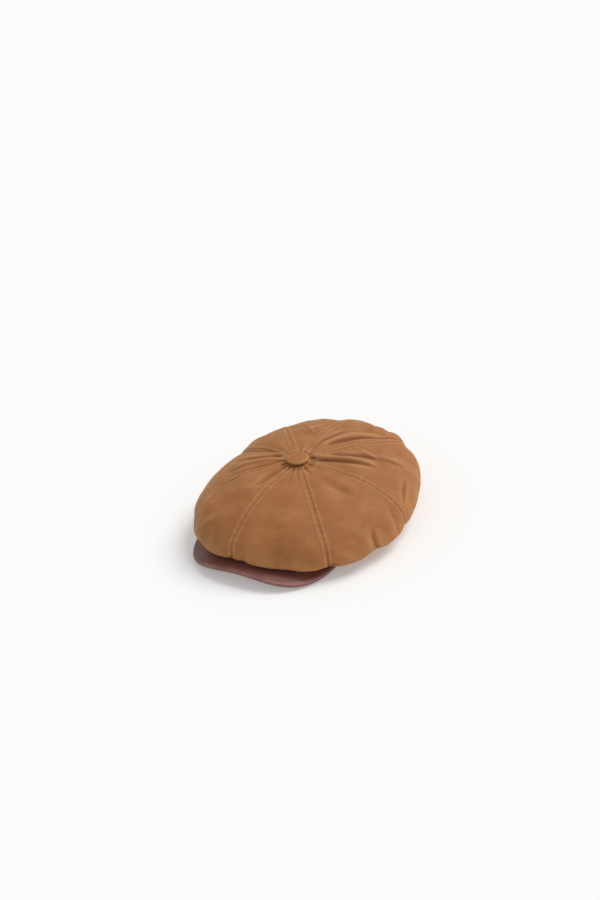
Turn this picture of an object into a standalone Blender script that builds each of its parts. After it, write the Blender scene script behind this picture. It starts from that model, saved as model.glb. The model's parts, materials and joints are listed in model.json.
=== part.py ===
"""Newsboy cap: eight gored crown panels, a covered button, a layered headband,
a lining and a stiff leather peak that tilts on its sewn edge.

Metres, +Z up. The cap lies on its headband and the wings of its peak, front towards -Y.
The origin is the middle of the bounding box's base. Angles around the cap are measured
at the button axis from the front (-Y) towards the wearer's left (+X).
"""
from math import atan2, cos, hypot, pi, radians, sin

import bmesh
import bpy

COLLECTION_NAME = "newsboy_cap"

# Head opening: the inside of the sweatband, an oval for a 58 cm head.
HEAD_LENGTH = 0.200
HEAD_WIDTH = 0.168

# Headband, from the head outwards: sweatband, lining skirt, stiffener, outer band.
BAND_HEIGHT = 0.036
FRONT_LIFT = 0.0132
SWEATBAND_THICKNESS = 0.0012
SWEATBAND_HEIGHT = 0.033
LINING_THICKNESS = 0.0006
STIFFENER_THICKNESS = 0.0010
OUTER_BAND_THICKNESS = 0.0012
INNER_BAND_RISE = 0.0008
LAYER_GAP = 0.0004

# Crown shell: how far it reaches out past the headband, and how high above it.
PANEL_COUNT = 8
PANEL_THICKNESS = 0.0012
SEAM_GAP = 0.0004
OVERHANG_SIDE = 0.0388
OVERHANG_FRONT = 0.0348
OVERHANG_BACK = 0.0488
CROWN_RISE = 0.0303
RIM_FRONT = 0.0255
RIM_SIDE = 0.0205
RIM_BACK = 0.0325
HEM_ABOVE_BAND_EDGE = 0.006
HEM_CLEARANCE = 0.0008
PANEL_PUFF = 0.002

# Lining.
LINING_GORES = 4
LINING_DEPTH = 0.0035

# Peak, from the top down: upper leather, board, lower leather.
PEAK_DEPTH = 0.0415
PEAK_FLARE = 0.0068
PEAK_SQUARENESS = 3.2
PEAK_TIP = 0.005
PEAK_TIP_ROUNDNESS = 12
PEAK_HALF_ANGLE = radians(63)
PEAK_WING_ANGLE = radians(45)
PEAK_SEAM_SLACK = 0.0010
PEAK_UPPER_THICKNESS = 0.0012
PEAK_BOARD_THICKNESS = 0.0018
PEAK_LOWER_THICKNESS = 0.0010
PEAK_EDGE_TURN = 0.0022
PEAK_LAYER_GAP = 0.0004
PEAK_TIP_SETBACK = radians(4)
PEAK_DROOP_FRONT = 0.0005
PEAK_DROOP_WING = 0.0128
PEAK_BELLY = 0.0015
PEAK_CLEARANCE = 0.0010
PEAK_HINGE_SETBACK = 0.040
PEAK_TILT_UP = radians(3)
PEAK_TILT_DOWN = radians(8)

# Button.
BUTTON_DIAMETER = 0.0254
BUTTON_DOME = 0.0042
BUTTON_SKIRT = 0.0012
BUTTON_FABRIC = 0.0006
BUTTON_SHELL_WALL = 0.0005
BUTTON_BACK_THICKNESS = 0.0009
BUTTON_FIT = 0.0005
SHANK_RADIUS = 0.0022
SHANK_CLEARANCE = 0.0006
WASHER_RADIUS = 0.0085
WASHER_THICKNESS = 0.0008

# Facets.
ROWS_DOME = 12
ROWS_UNDER = 6
COLUMNS_PER_PANEL = 6
LINING_ROWS = 8
LINING_SKIRT_ROWS = 2
LINING_COLUMNS = 14
BAND_SEGMENTS = 72
PEAK_COLUMNS = 36
PEAK_ROWS = 5
PEAK_LIP_ROWS = 2
BUTTON_SEGMENTS = 28
DOME_STEPS = 5
SHARP_EDGE = radians(40)

# Worked out from the sizes above.
LINING_OFFSET = SWEATBAND_THICKNESS + LAYER_GAP
STIFFENER_OFFSET = LINING_OFFSET + LINING_THICKNESS + LAYER_GAP
OUTER_BAND_OFFSET = STIFFENER_OFFSET + STIFFENER_THICKNESS + LAYER_GAP
BAND_STACK = OUTER_BAND_OFFSET + OUTER_BAND_THICKNESS
BAND_HALF_LENGTH = HEAD_LENGTH / 2 + BAND_STACK
CROWN_HALF_WIDTH = HEAD_WIDTH / 2 + BAND_STACK + OVERHANG_SIDE
CROWN_FRONT = BAND_HALF_LENGTH + OVERHANG_FRONT
CROWN_BACK = BAND_HALF_LENGTH + OVERHANG_BACK
CROWN_HEIGHT = FRONT_LIFT + BAND_HEIGHT + CROWN_RISE
PEAK_FRONT = BAND_HALF_LENGTH + PEAK_SEAM_SLACK + PEAK_DEPTH
PEAK_HALF_WIDTH = HEAD_WIDTH / 2 + BAND_STACK + PEAK_SEAM_SLACK + PEAK_FLARE
AXIS_Y = (PEAK_FRONT - CROWN_BACK) / 2
SHANK_HOLE = SHANK_RADIUS + SHANK_CLEARANCE
PEAK_STACK = PEAK_UPPER_THICKNESS + PEAK_BOARD_THICKNESS + PEAK_LOWER_THICKNESS + 2 * PEAK_LAYER_GAP
HINGE_Y = AXIS_Y - BAND_HALF_LENGTH + PEAK_HINGE_SETBACK


# Shape of the cap: plain formulas in metres and radians.

def oval_radius(angle, half_width, half_length):
    """Radius of an oval at an angle measured from the front."""
    return 1 / hypot(sin(angle) / half_width, cos(angle) / half_length)


def band_radius(angle, offset):
    """Radius of a headband layer that lies this far outside the head."""
    return oval_radius(angle, HEAD_WIDTH / 2 + offset, HEAD_LENGTH / 2 + offset)


def crown_radius(angle):
    """Radius of the crown's widest line: half an oval in front and half behind."""
    half_length = CROWN_FRONT if cos(angle) > 0 else CROWN_BACK
    return oval_radius(angle, CROWN_HALF_WIDTH, half_length)


def rim_height(angle):
    """Height of the crown's widest line, from its front, side and back heights."""
    mean = (RIM_FRONT + RIM_BACK + 2 * RIM_SIDE) / 4
    pitch = (RIM_FRONT - RIM_BACK) / 2
    saddle = (RIM_FRONT + RIM_BACK - 2 * RIM_SIDE) / 4
    return mean + pitch * cos(angle) + saddle * cos(2 * angle)


def band_edge_height(y):
    """Height of the headband's slanting lower edge, zero at the back."""
    back = AXIS_Y + BAND_HALF_LENGTH
    return FRONT_LIFT * (back - y) / (2 * BAND_HALF_LENGTH)


def smooth_step(value):
    """Ease from 0 to 1."""
    value = min(max(value, 0), 1)
    return value * value * (3 - 2 * value)


def peak_room():
    """How much higher the hem sits over the peak, whose tips rise when its front tilts down."""
    inner = band_radius(PEAK_HALF_ANGLE, BAND_STACK + PEAK_SEAM_SLACK)
    tip_lever = AXIS_Y - inner * cos(PEAK_HALF_ANGLE) - HINGE_Y
    rise = max(tip_lever * sin(PEAK_TILT_DOWN), PEAK_HINGE_SETBACK * sin(PEAK_TILT_UP))
    return max(PEAK_STACK + rise + PEAK_CLEARANCE - HEM_ABOVE_BAND_EDGE, 0)


def hem_height(angle, y):
    """Height of the crown's lower edge, which leaves room above the peak."""
    past_peak = smooth_step((abs(angle) - PEAK_HALF_ANGLE) / (pi / 2 - PEAK_HALF_ANGLE))
    return band_edge_height(y) + HEM_ABOVE_BAND_EDGE + peak_room() * (1 - past_peak)


def around(angle, radius, height):
    """A point at an angle and radius about the button axis."""
    return (radius * sin(angle), AXIS_Y - radius * cos(angle), height)


def wrapped(angle):
    """The same angle between minus and plus half a turn."""
    return atan2(sin(angle), cos(angle))


def crown_point(angle, step, puff):
    """Outer face: a quarter oval from button to rim (0 to 1), and one from rim to hem (1 to 2)."""
    rim = crown_radius(angle)
    height = rim_height(angle)
    if step <= 1:
        start = SHANK_HOLE / rim
        turn = pi / 2 * (start + (1 - start) * step)
        radius = rim * sin(turn) + puff * sin(turn) ** 2
        return around(angle, radius, height + (CROWN_HEIGHT - height) * cos(turn))
    turn = pi / 2 * (step - 1)
    inner = band_radius(angle, BAND_STACK + HEM_CLEARANCE)
    hem = hem_height(wrapped(angle), AXIS_Y - inner * cos(angle))
    radius = inner + (rim + puff - inner) * cos(turn)
    return around(angle, radius, height + (hem - height) * sin(turn))


def lining_point(angle, step):
    """Outer face: a quarter oval under the crown (0 to 1), then a skirt behind the sweatband."""
    rim = band_radius(angle, LINING_OFFSET + LINING_THICKNESS)
    edge = band_edge_height(AXIS_Y - rim * cos(angle))
    shoulder = edge + BAND_HEIGHT
    if step <= 1:
        start = SHANK_HOLE / rim
        turn = pi / 2 * (start + (1 - start) * step)
        top = CROWN_HEIGHT - LINING_DEPTH
        return around(angle, rim * sin(turn), shoulder + (top - shoulder) * cos(turn))
    bottom = edge + INNER_BAND_RISE
    return around(angle, rim, shoulder + (bottom - shoulder) * (step - 1))


def peak_depth(angle):
    """How far the peak reaches out from its sewn edge, to a squarish oval that rounds in at the tips."""
    power = PEAK_SQUARENESS
    across = abs(sin(angle) / PEAK_HALF_WIDTH) ** power
    ahead = abs(cos(angle) / PEAK_FRONT) ** power
    full = (across + ahead) ** (-1 / power) - band_radius(angle, BAND_STACK + PEAK_SEAM_SLACK)
    return PEAK_TIP + (full - PEAK_TIP) * (1 - abs(angle / PEAK_HALF_ANGLE) ** PEAK_TIP_ROUNDNESS)


def peak_point(angle, reach, drop):
    """The peak's upper face at a distance out from its sewn edge, lowered by drop."""
    inner = band_radius(angle, BAND_STACK + PEAK_SEAM_SLACK)
    sewn = band_edge_height(AXIS_Y - inner * cos(angle)) + PEAK_STACK
    share = reach / PEAK_DEPTH
    wing = smooth_step(abs(angle) / PEAK_WING_ANGLE)
    droop = PEAK_DROOP_FRONT + (PEAK_DROOP_WING - PEAK_DROOP_FRONT) * wing
    belly = PEAK_BELLY * sin(pi * min(share, 1))
    return around(angle, inner + reach, sewn - droop * share + belly - drop)


# Tools.

def clear_scene():
    """Remove every object."""
    for item in list(bpy.data.objects):
        bpy.data.objects.remove(item, do_unlink=True)


def make_material(name, colour, roughness, metallic):
    """A plain Principled material."""
    material = bpy.data.materials.new(name)
    material.use_nodes = True
    shader = material.node_tree.nodes["Principled BSDF"]
    shader.inputs["Base Color"].default_value = (*colour, 1)
    shader.inputs["Roughness"].default_value = roughness
    shader.inputs["Metallic"].default_value = metallic
    material.diffuse_color = (*colour, 1)
    return material


def make_object(name, form, material, smooth=True):
    """Turn a bmesh into a named object with its material."""
    mesh = bpy.data.meshes.new(name)
    form.to_mesh(mesh)
    form.free()
    mesh.materials.append(material)
    if smooth:
        mesh.shade_smooth()
        mesh.set_sharp_from_angle(angle=SHARP_EDGE)
    item = bpy.data.objects.new(name, mesh)
    bpy.data.collections[COLLECTION_NAME].objects.link(item)
    return item


def bent_grid(columns, rows, place):
    """A flat grid bent to place(across, along), with across and along from 0 to 1."""
    form = bmesh.new()
    bmesh.ops.create_grid(form, x_segments=columns, y_segments=rows, size=0.5)
    for vertex in form.verts:
        vertex.co = place(vertex.co.x + 0.5, vertex.co.y + 0.5)
    return form


def add_thickness(item, thickness):
    """Give an open sheet its wall, inwards from its outer face."""
    wall = item.modifiers.new("wall", "SOLIDIFY")
    wall.thickness = thickness
    wall.offset = -1
    wall.use_even_offset = True
    wall.use_rim = True


def make_band(name, offset, thickness, bottom_rise, height, material):
    """An oval wall with its lower edge on the slanting band plane."""
    form = bmesh.new()
    bmesh.ops.create_circle(form, cap_ends=False, segments=BAND_SEGMENTS, radius=1)
    for vertex in form.verts:
        angle = atan2(vertex.co.x, -vertex.co.y)
        vertex.co = around(angle, band_radius(angle, offset + thickness), 0)
    lower = list(form.edges)
    raised = bmesh.ops.extrude_edge_only(form, edges=lower)["geom"]
    upper = [piece for piece in raised if isinstance(piece, bmesh.types.BMVert)]
    bmesh.ops.translate(form, verts=upper, vec=(0, 0, height))
    bmesh.ops.recalc_face_normals(form, faces=form.faces)
    outward = form.faces[0].normal.dot(form.faces[0].calc_center_median()) > 0
    if not outward:
        bmesh.ops.reverse_faces(form, faces=form.faces)
    bmesh.ops.solidify(form, geom=form.faces[:], thickness=thickness)
    bmesh.ops.recalc_face_normals(form, faces=form.faces)
    for vertex in form.verts:
        vertex.co.z += band_edge_height(vertex.co.y) + bottom_rise
    return make_object(name, form, material)


def make_turned(name, outline, material):
    """Turn a half outline, given from the top of its outer side, about the button axis."""
    form = bmesh.new()
    points = [form.verts.new((radius, 0, height)) for radius, height in outline]
    for first, second in zip(points, points[1:]):
        form.edges.new((first, second))
    item = make_object(name, form, material, smooth=False)
    item.location.y = AXIS_Y
    screw = item.modifiers.new("turn", "SCREW")
    screw.axis = "Z"
    screw.angle = 2 * pi
    screw.steps = BUTTON_SEGMENTS
    screw.render_steps = BUTTON_SEGMENTS
    screw.use_merge_vertices = True
    screw.merge_threshold = 0.00001
    screw.use_smooth_shade = True
    return item


# Pieces.

def make_crown_panels(material):
    """Eight gores from the button to the hem, with a seam at the front middle."""
    names = ("front_left", "side_front_left", "side_back_left", "back_left",
             "back_right", "side_back_right", "side_front_right", "front_right")
    half = pi / PANEL_COUNT
    rows = ROWS_DOME + ROWS_UNDER

    for index, name in enumerate(names):
        middle = (2 * index + 1) * half

        def place(across, along, middle=middle):
            step = along * rows / ROWS_DOME
            if step > 1:
                step = 1 + (along * rows - ROWS_DOME) / ROWS_UNDER
            share = 1 - 2 * across
            radius = max(crown_radius(middle) * min(step, 1), SHANK_HOLE)
            angle = middle + share * (half - SEAM_GAP / (2 * radius))
            return crown_point(angle, step, PANEL_PUFF * (1 - share * share))

        form = bent_grid(COLUMNS_PER_PANEL, rows, place)
        item = make_object("crown_panel_" + name, form, material)
        add_thickness(item, PANEL_THICKNESS)


def make_lining(material):
    """Wide lining gores under the crown, running down behind the sweatband."""
    names = ("front", "left", "back", "right")
    half = pi / LINING_GORES
    rows = LINING_ROWS + LINING_SKIRT_ROWS

    for index, name in enumerate(names):
        middle = 2 * index * half

        def place(across, along, middle=middle):
            step = along * rows / LINING_ROWS
            if step > 1:
                step = 1 + (along * rows - LINING_ROWS) / LINING_SKIRT_ROWS
            share = 1 - 2 * across
            radius = max(band_radius(middle, 0) * min(step, 1), SHANK_HOLE)
            angle = middle + share * (half - SEAM_GAP / (2 * radius))
            return lining_point(angle, step)

        form = bent_grid(LINING_COLUMNS, rows, place)
        item = make_object("lining_gore_" + name, form, material)
        add_thickness(item, LINING_THICKNESS)


def make_headband(canvas, stiffener, leather):
    """The three oval strips of the headband."""
    make_band("headband_outer", OUTER_BAND_OFFSET, OUTER_BAND_THICKNESS, 0, BAND_HEIGHT, canvas)
    make_band("headband_stiffener", STIFFENER_OFFSET, STIFFENER_THICKNESS, INNER_BAND_RISE,
              BAND_HEIGHT - 2 * INNER_BAND_RISE, stiffener)
    make_band("sweatband", 0, SWEATBAND_THICKNESS, INNER_BAND_RISE, SWEATBAND_HEIGHT, leather)


def make_peak_layer(name, half_angle, setback, drop, thickness, turn, material, hinge):
    """One layer of the peak. A turned layer is deeper by turn along its rim, to cover the board's edge."""
    rows = PEAK_ROWS + (PEAK_LIP_ROWS if turn else 0)

    def place(across, along):
        angle = half_angle * (2 * across - 1)
        reach = peak_depth(angle) - setback
        if not turn:
            return peak_point(angle, along * reach, drop)
        row = round(along * rows)
        before_lip = reach - PEAK_EDGE_TURN - PEAK_LAYER_GAP
        lip = {PEAK_ROWS + 1: reach - PEAK_EDGE_TURN, rows: reach}
        return peak_point(angle, lip.get(row, before_lip * row / PEAK_ROWS), drop)

    form = bent_grid(PEAK_COLUMNS, rows, place)
    depth = form.verts.layers.float.new("depth")
    lip_start = (PEAK_COLUMNS + 1) * (PEAK_ROWS + 1)
    for index, vertex in enumerate(form.verts):
        vertex[depth] = thickness + (turn if index >= lip_start else 0)
    made = bmesh.ops.extrude_face_region(form, geom=form.faces[:])["geom"]
    for piece in made:
        if isinstance(piece, bmesh.types.BMVert):
            piece.co.z -= piece[depth]
    form.verts.layers.float.remove(depth)
    bmesh.ops.recalc_face_normals(form, faces=form.faces)
    bmesh.ops.translate(form, verts=form.verts, vec=(-hinge[0], -hinge[1], -hinge[2]))
    item = make_object(name, form, material)
    item.location = hinge
    return item


def make_peak(leather, board):
    """The peak's three layers, with their origins on the line the peak tilts about."""
    hinge = (0, HINGE_Y, band_edge_height(HINGE_Y) + PEAK_STACK / 2)
    board_drop = PEAK_UPPER_THICKNESS + PEAK_LAYER_GAP
    lower_drop = board_drop + PEAK_BOARD_THICKNESS + PEAK_LAYER_GAP
    make_peak_layer("peak_upper_leather", PEAK_HALF_ANGLE, 0, 0, PEAK_UPPER_THICKNESS,
                    PEAK_LAYER_GAP + PEAK_BOARD_THICKNESS, leather, hinge)
    make_peak_layer("peak_board", PEAK_HALF_ANGLE - PEAK_TIP_SETBACK,
                    PEAK_EDGE_TURN + 2 * PEAK_LAYER_GAP, board_drop, PEAK_BOARD_THICKNESS, 0, board, hinge)
    make_peak_layer("peak_lower_leather", PEAK_HALF_ANGLE, 0, lower_drop, PEAK_LOWER_THICKNESS, 0,
                    leather, hinge)


def dome_outline(radius, base, top):
    """A quarter oval from the middle of a dome down to its edge."""
    turns = [pi / 2 * index / DOME_STEPS for index in range(DOME_STEPS + 1)]
    return [(radius * sin(turn), base + (top - base) * cos(turn)) for turn in turns]


def make_button(canvas, aluminium, steel):
    """A pressed shell covered in the crown's canvas, its shank plate, and the washer inside."""
    seat = CROWN_HEIGHT + LAYER_GAP
    cover_radius = BUTTON_DIAMETER / 2
    shell_radius = cover_radius - BUTTON_FABRIC - LAYER_GAP
    inner_radius = shell_radius - BUTTON_SHELL_WALL
    back_radius = inner_radius - BUTTON_FIT
    shell_base = seat + BUTTON_FABRIC + LAYER_GAP
    top = seat + BUTTON_SKIRT + BUTTON_DOME
    shoulder = seat + BUTTON_SKIRT

    cover = dome_outline(cover_radius, shoulder, top)
    cover += [(cover_radius, seat), (inner_radius, seat), (inner_radius, seat + BUTTON_FABRIC)]
    cover += [(cover_radius - BUTTON_FABRIC, seat + BUTTON_FABRIC)]
    cover += reversed(dome_outline(cover_radius - BUTTON_FABRIC, shoulder, top - BUTTON_FABRIC))
    make_turned("button_cover", cover, canvas)

    shell_top = top - BUTTON_FABRIC - LAYER_GAP
    shell = dome_outline(shell_radius, shoulder, shell_top)
    shell += [(shell_radius, shell_base), (inner_radius, shell_base)]
    shell += reversed(dome_outline(inner_radius, shoulder, shell_top - BUTTON_SHELL_WALL))
    make_turned("button_shell", shell, aluminium)

    plate_top = seat + BUTTON_BACK_THICKNESS
    washer_top = CROWN_HEIGHT - PANEL_THICKNESS - 2 * LAYER_GAP
    washer_base = washer_top - WASHER_THICKNESS
    plate = [(0, plate_top), (back_radius, plate_top), (back_radius, seat), (SHANK_RADIUS, seat)]
    plate += [(SHANK_RADIUS, washer_base - LAYER_GAP), (0, washer_base - LAYER_GAP)]
    make_turned("button_shank_plate", plate, steel)

    hole = SHANK_RADIUS + LAYER_GAP
    washer = [(hole, washer_top), (WASHER_RADIUS, washer_top), (WASHER_RADIUS, washer_base)]
    washer += [(hole, washer_base), (hole, washer_top)]
    make_turned("button_washer", washer, steel)


def main():
    """Build every piece of the cap."""
    clear_scene()
    group = bpy.data.collections.new(COLLECTION_NAME)
    bpy.context.scene.collection.children.link(group)
    canvas = make_material("waxed_canvas", (0.36, 0.17, 0.07), 0.8, 0)
    satin = make_material("lining_satin", (0.12, 0.07, 0.04), 0.35, 0)
    stiffener = make_material("band_stiffener", (0.75, 0.72, 0.66), 0.9, 0)
    sweat_leather = make_material("sweatband_leather", (0.16, 0.08, 0.05), 0.55, 0)
    peak_leather = make_material("peak_leather", (0.10, 0.035, 0.03), 0.42, 0)
    board = make_material("peak_board", (0.05, 0.05, 0.05), 0.6, 0)
    aluminium = make_material("button_aluminium", (0.8, 0.8, 0.82), 0.35, 1)
    steel = make_material("button_steel", (0.6, 0.6, 0.62), 0.3, 1)
    make_crown_panels(canvas)
    make_lining(satin)
    make_headband(canvas, stiffener, sweat_leather)
    make_peak(peak_leather, board)
    make_button(canvas, aluminium, steel)


main()
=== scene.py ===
"""Eight-panel newsboy cap in waxed canvas with a leather peak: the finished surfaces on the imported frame.

Metres, +Z up. The front faces -Y and the wearer's left is +X. Angles round the cap are measured at
the button's axis from the front towards +X, so an angle and a radius stand for the point
(radius sin angle, axis - radius cos angle). A place on the crown is an angle and a step, which runs
from 0 at the button over the dome to 1 at the rim, and from 1 to 2 under the rim to the hem.
"""

import json
from math import pi, radians, sin, cos

import bpy
import numpy as np
from mathutils import Matrix, Vector


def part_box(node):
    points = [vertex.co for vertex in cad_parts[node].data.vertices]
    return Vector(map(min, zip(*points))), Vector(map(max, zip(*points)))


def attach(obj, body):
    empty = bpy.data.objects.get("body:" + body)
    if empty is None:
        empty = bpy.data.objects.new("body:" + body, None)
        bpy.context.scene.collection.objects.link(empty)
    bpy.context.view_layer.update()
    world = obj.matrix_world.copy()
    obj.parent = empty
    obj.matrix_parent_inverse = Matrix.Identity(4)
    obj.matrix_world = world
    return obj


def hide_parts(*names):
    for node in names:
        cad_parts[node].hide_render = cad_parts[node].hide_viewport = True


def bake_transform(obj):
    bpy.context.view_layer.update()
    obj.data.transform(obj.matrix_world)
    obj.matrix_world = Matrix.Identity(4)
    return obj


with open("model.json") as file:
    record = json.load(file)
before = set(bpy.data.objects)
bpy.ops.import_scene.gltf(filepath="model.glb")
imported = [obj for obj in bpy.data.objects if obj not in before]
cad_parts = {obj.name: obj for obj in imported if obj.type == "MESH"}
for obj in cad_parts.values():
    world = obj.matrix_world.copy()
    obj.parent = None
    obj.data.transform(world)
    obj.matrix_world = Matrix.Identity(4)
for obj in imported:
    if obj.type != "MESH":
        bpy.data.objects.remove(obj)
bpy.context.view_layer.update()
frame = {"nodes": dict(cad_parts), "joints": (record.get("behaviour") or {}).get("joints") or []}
MM = 0.001

# Sizes read from the frame.
BUTTON_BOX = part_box("button_cover")
BAND_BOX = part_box("headband_outer")
SWEATBAND_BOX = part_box("sweatband")
FRONT_PANEL_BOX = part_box("crown_panel_front_left")
SIDE_PANEL_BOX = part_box("crown_panel_side_front_left")
BACK_PANEL_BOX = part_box("crown_panel_back_left")
PEAK_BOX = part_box("peak_upper_leather")
AXIS_Y = (BUTTON_BOX[0].y + BUTTON_BOX[1].y) / 2
CROWN_TOP = FRONT_PANEL_BOX[1].z
CROWN_FRONT = AXIS_Y - FRONT_PANEL_BOX[0].y
CROWN_BACK = BACK_PANEL_BOX[1].y - AXIS_Y
CROWN_SIDE = SIDE_PANEL_BOX[1].x
BAND_WIDE = BAND_BOX[1].x
BAND_LONG = (BAND_BOX[1].y - BAND_BOX[0].y) / 2
SWEATBAND_THICKNESS = 1.2 * MM
HEAD_WIDE = SWEATBAND_BOX[1].x - SWEATBAND_THICKNESS
PEAK_JOINT = Vector(frame["joints"][0]["pos_m"])

# The headband and the hem of the crown.
BAND_HEIGHT = 36 * MM
FRONT_LIFT = BAND_BOX[1].z - BAND_HEIGHT
HEM_RISE = 6 * MM
HEM_RISE_OVER_PEAK = 2.9 * MM
HEM_CLEARANCE = 0.8 * MM
INNER_BAND_RISE = 0.8 * MM
# The hem has its extra room up to this angle, and loses it over the next one.
PEAK_HEM_ANGLE = radians(63)
PEAK_HEM_EASE = radians(27)

# The crown's relaxed shape: pushed over towards the wearer's left, and lower at its front left.
PANELS = 8
RIM_FRONT = 26.7 * MM
RIM_SIDE = 20.5 * MM
RIM_BACK = 32.5 * MM
# Millimetres that the rim stands out past an even oval, at sixteen places from the front round to the left.
RIM_DRIFT = (-1.5, -2.5, 6, 7, 9.5, 5.5, 6, 5, 4.5, 4, 6, -2.5, -7, -4.5, 0.5, 2.5)
RIM_TWIST = -3.6 * MM
RIM_PITCH = -1.5 * MM
BUTTON_HOLE = 2.8 * MM
PANEL_PUFF = 2.6 * MM
CANVAS_THICKNESS = 1.2 * MM
SEAM_NAMES = ("front", "front_left", "left", "back_left", "back", "back_right", "right", "front_right")
PANEL_NAMES = ("front_left", "side_front_left", "side_back_left", "back_left",
               "back_right", "side_back_right", "side_front_right", "front_right")
# Degrees that each seam wanders from its even place, half way down the dome and at the rim.
SEAM_DRIFT = (-6, -2, 5, 10, 7, -4, -17, -5)
SEAM_DRIFT_AT_RIM = (-5, -1, 4, 14, 2, -7, -16, -3)

# Twin-needle seams.
SEAM_ROW_OFFSET = 3.8 * MM
SEAM_ROW_SHARE = 0.62
FIRST_STITCH = 11 * MM
SEAM_ALLOWANCE = 5.0 * MM
SEAM_PAD = 0.45 * MM
SEAM_GROOVE = 0.42 * MM
STITCH_PITCH = 3.0 * MM
STITCH_LENGTH = 2.3 * MM
THREAD_RADIUS = 0.33 * MM

# Folds pressed into the crown: three places as (degrees, millimetres from the button),
# height and half width in millimetres. A negative height is a valley.
FOLDS = (
    (((140, 9), (121, 38), (115, 84)), -5.2, 4.2),
    (((145, 17), (124, 50), (118, 90)), 2.0, 3.0),
    (((134, 36), (130, 62), (124, 118)), -3.8, 3.8),
    (((140, 70), (128, 86), (124, 108)), 1.8, 2.6),
    (((165, 42), (160, 80), (151, 138)), -4.6, 4.0),
    (((170, 36), (166, 71), (159, 114)), 2.4, 3.4),
    (((173, 20), (178, 50), (171, 90)), -2.6, 3.0),
    (((258, 20), (272, 42), (279, 76)), -3.8, 3.8),
    (((274, 20), (285, 45), (291, 80)), 2.6, 3.2),
    (((285, 14), (299, 36), (303, 78)), -2.8, 3.4),
    (((328, 10), (336, 33), (340, 60)), -3.4, 4.6),
    (((252, 30), (257, 62), (256, 100)), -2.2, 3.4),
    (((204, 69), (198, 82), (194, 98)), 1.1, 2.2),
    (((204, 90), (201, 78), (197, 66)), 1.0, 2.2),
    (((66, 30), (72, 60), (78, 86)), -2.0, 7.0),
    (((98, 134), (105, 127), (114, 124)), -1.4, 3.0),
    (((90, 116), (87, 140), (84, 160)), -0.8, 4.6),
    (((72, 128), (70, 150), (74, 176)), -1.2, 4.0),
)

# Facets of the crown: per panel, down the dome, under the rim.
PANEL_COLUMNS = 84
DOME_ROWS = 108
UNDER_ROWS = 46

# The simulated cloth: its coarser grid, how firmly the seams and the cloth by the button are held, how
# far it is let run, how many times its long waves are blurred away, and the most a point may move.
CLOTH_COLUMNS = 14
CLOTH_DOME_ROWS = 40
CLOTH_UNDER_ROWS = 16
SEAM_HOLD = 0.15
BUTTON_HOLD = 0.8
CLOTH_FRAMES = 16
CLOTH_BLUR = 10
CLOTH_CAP = 3.2 * MM
CLOTH_SETTINGS = dict(
    quality=6, mass=0.25, tension_stiffness=25, compression_stiffness=25, shear_stiffness=12,
    bending_stiffness=1.2, tension_damping=12, compression_damping=12, pin_stiffness=1,
    shrink_min=-0.042, use_pressure=True, uniform_pressure_force=0.2)

# Button.
BUTTON_RADIUS = (BUTTON_BOX[1].x - BUTTON_BOX[0].x) / 2 + 0.6 * MM
BUTTON_SEAT = BUTTON_BOX[0].z
BUTTON_LIFT = 1.1 * MM
BUTTON_TOP_SHARE = 0.62
BUTTON_TOP = BUTTON_BOX[1].z + BUTTON_LIFT

# Peak.
PEAK_SLACK = 1.0 * MM
PEAK_FRONT = AXIS_Y - PEAK_BOX[0].y
PEAK_DEPTH = PEAK_FRONT - BAND_LONG - PEAK_SLACK
PEAK_HALF_WIDTH = BAND_WIDE + PEAK_SLACK + 7.6 * MM
PEAK_SQUARENESS = 3.3
PEAK_SKEW = -1.4 * MM
PEAK_TIP_ANGLE = radians(66)
PEAK_TIP_ROUNDNESS = 12
PEAK_STACK = 4.8 * MM
PEAK_DROOP_FRONT = 0.5 * MM
PEAK_DROOP_WING = 12.8 * MM
PEAK_WING_ANGLE = radians(45)
PEAK_BELLY = 1.5 * MM
PEAK_ROLL = PEAK_STACK / 2
# How far the peak tilts up, and the room the crown leaves over it there.
PEAK_TILT_UP = radians(3)
PEAK_TILT_ROOM = 0.9 * MM
PEAK_TILT_SOFTNESS = 0.35 * MM

# Camera: direction from the cap, its distance, tilt, and where it aims.
VIEW_AZIMUTH = radians(35.65)
VIEW_ELEVATION = radians(33.57)
VIEW_ROLL = radians(-7.17)
VIEW_DISTANCE = 2.0
VIEW_AIM = (-0.0030, 0.0402)
VIEW_LENS = 66.7

# Studio.
FLOOR_HALF_SIDE = 9.0
FLOOR_GLOW = 0.262
SURROUND = 0.42
KEY_PLACE = (0.9, 1.3, 2.1)
KEY_STRENGTH = 1.9


# ---- plain formulas

def smooth(value):
    """Ease from 0 to 1: 3t^2 - 2t^3 with t held between 0 and 1."""
    t = np.clip(value, 0, 1)
    return t * t * (3 - 2 * t)


def crossed(first, second):
    """Two rows of numbers as grids: the first runs down, the second across."""
    return np.meshgrid(first, second, indexing="ij")


def bell(value, middle, width):
    """A bump of height 1: exp(-((value - middle) / width)^2)."""
    return np.exp(-((value - middle) / width) ** 2)


def oval(angle, half_width, half_length):
    """Radius of an oval at an angle measured from the front."""
    return 1 / np.hypot(np.sin(angle) / half_width, np.cos(angle) / half_length)


def around(angle, radius, height):
    """Points at an angle, radius and height about the button's axis."""
    return np.stack([radius * np.sin(angle), AXIS_Y - radius * np.cos(angle), height + 0 * radius], -1)


def band_radius(angle, outside=0.0):
    """Radius of the headband's outer face, or of an oval that lies outside it."""
    return oval(angle, BAND_WIDE + outside, BAND_LONG + outside)


def band_edge(angle, radius):
    """Height of the headband's slanting lower edge: zero at the back, the front lift at the front."""
    y = AXIS_Y - radius * np.cos(angle)
    return FRONT_LIFT * (AXIS_Y + BAND_LONG - y) / (2 * BAND_LONG)


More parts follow.
